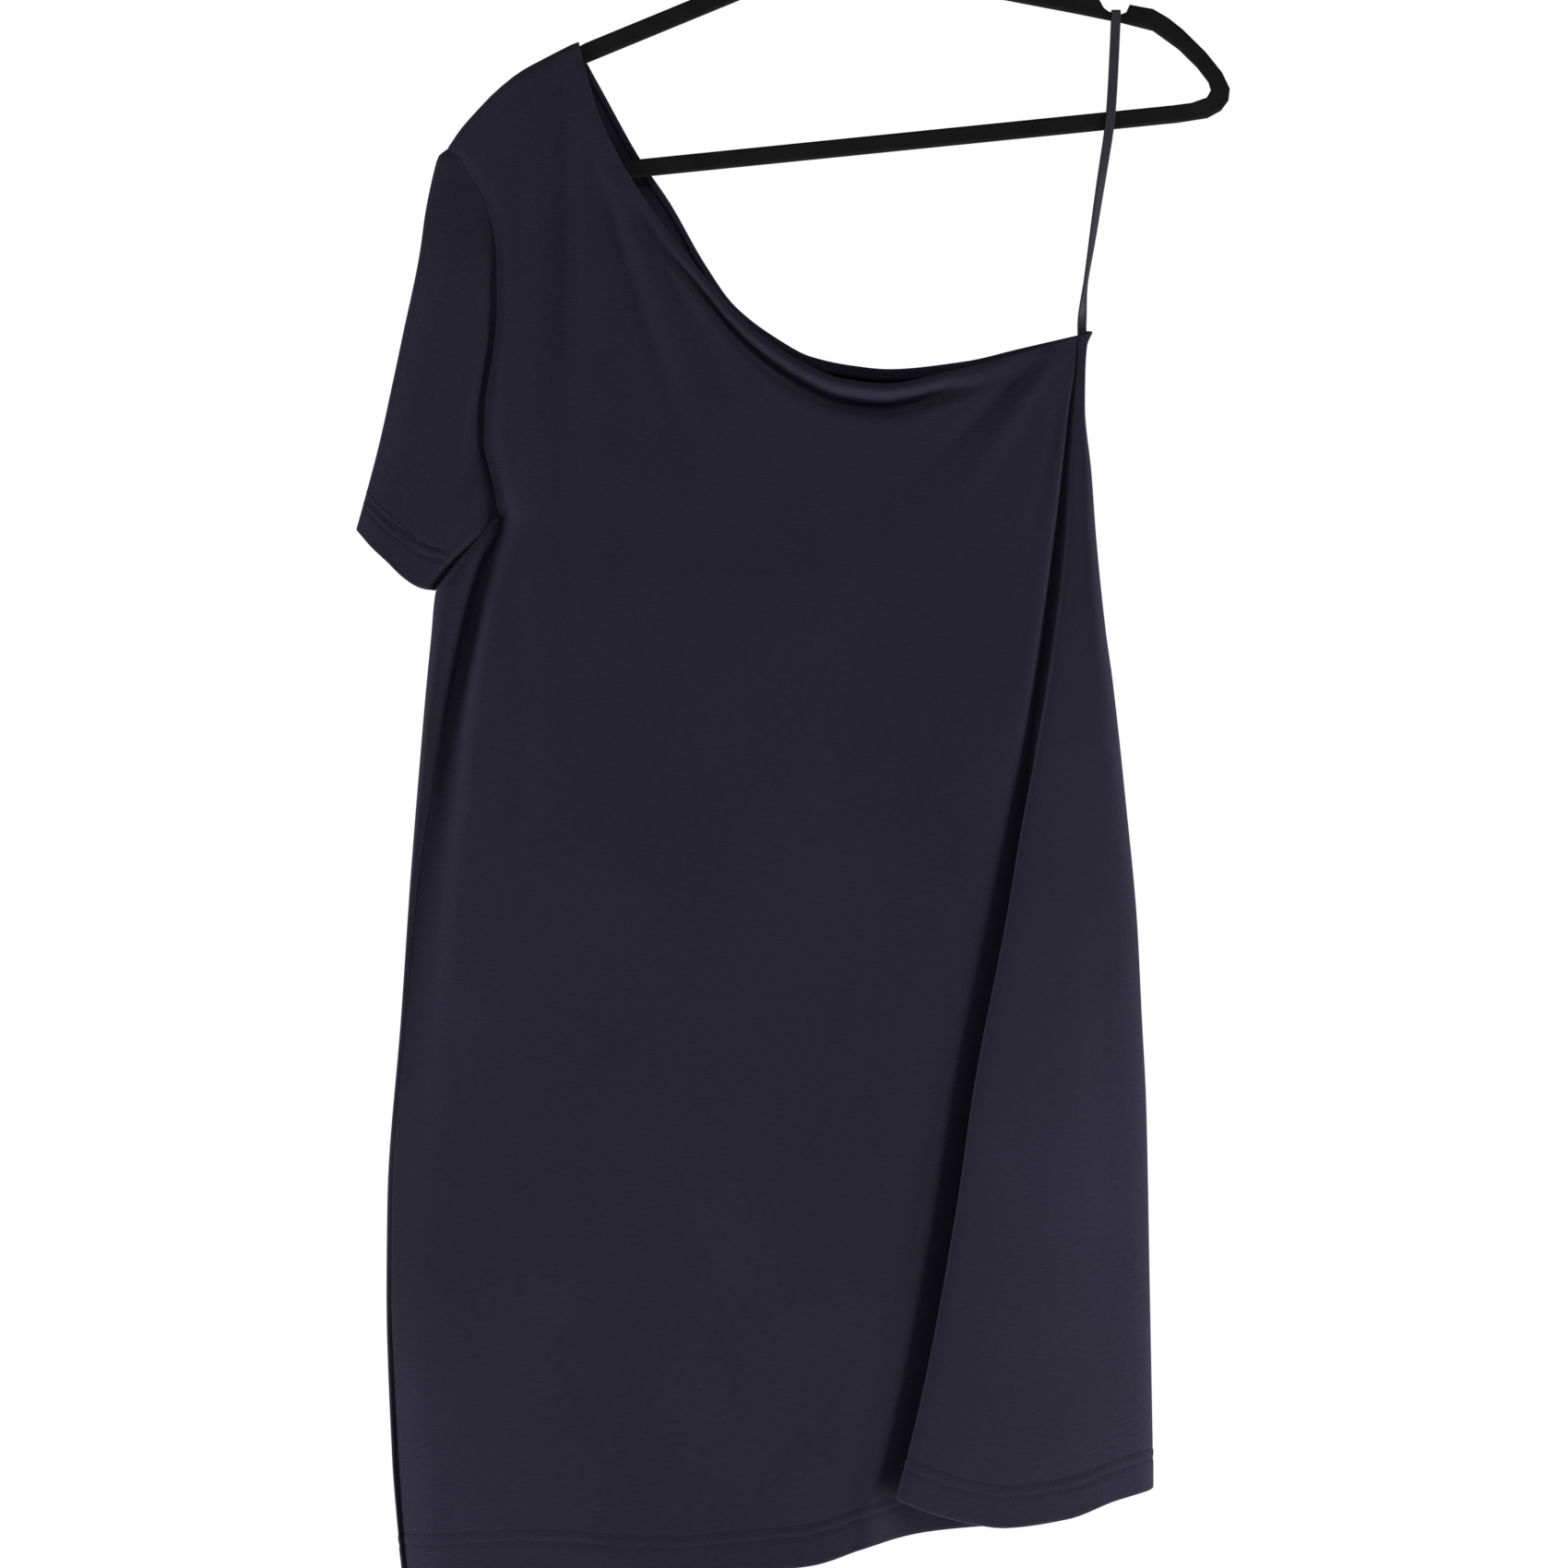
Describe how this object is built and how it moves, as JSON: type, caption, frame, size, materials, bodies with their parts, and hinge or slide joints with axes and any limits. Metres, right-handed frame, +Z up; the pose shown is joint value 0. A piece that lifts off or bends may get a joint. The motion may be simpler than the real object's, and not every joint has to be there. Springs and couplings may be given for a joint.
{
  "type": "one-shoulder jersey dress on a slim flocked hanger",
  "caption": "Short one-shoulder jersey dress with one sleeve, a slanting neckline and a wedge fold, hung by its shoulder and a ribbon loop on a flocked hanger.",
  "frame": {"origin": "where the hook bears on its rail, at the top of the hook's inside", "axes": "+Z up, the dress faces -Y, +X to the viewer's right; the sleeve is towards -X and the loop towards +X"},
  "size_m": [0.4934, 0.076, 0.99],
  "materials": {
    "jersey": "matte fine jersey, very dark navy",
    "ribbon": "soft satin ribbon, dark navy",
    "flocked_plastic": "short black flock on a moulded board",
    "chromed_wire": "polished"
  },
  "bodies": {
    "root": {"dress_front": "jersey", "dress_back": "jersey", "sleeve": "jersey", "hanging_loop": "ribbon", "hanger_frame": "flocked_plastic", "hanger_hook": "chromed_wire"}
  },
  "joints": []
}
